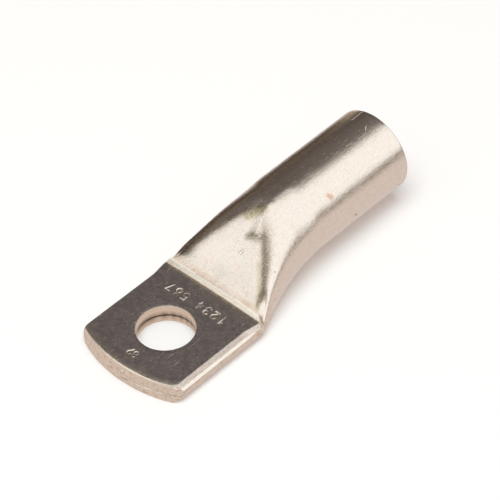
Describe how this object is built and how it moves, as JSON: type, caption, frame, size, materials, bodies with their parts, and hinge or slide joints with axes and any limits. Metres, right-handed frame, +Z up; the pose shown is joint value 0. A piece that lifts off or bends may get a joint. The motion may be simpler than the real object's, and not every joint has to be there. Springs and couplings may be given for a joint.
{
  "type": "cable lug",
  "caption": "Tinned copper tube lug: a round open barrel for a stranded conductor, pressed flat at the other end into a palm with a punched stud hole.",
  "frame": {"origin": "centre of the stud hole on the palm's underside", "axes": "+X from the stud hole to the barrel's open mouth, +Z up out of the palm's top face along the stud, +Y across the palm"},
  "size_m": [0.1067, 0.0384, 0.0264],
  "materials": {
    "tinned_copper": "electro-tinned, bright, with handling scratches"
  },
  "bodies": {
    "root": {"cable_lug": "tinned_copper"}
  },
  "joints": []
}
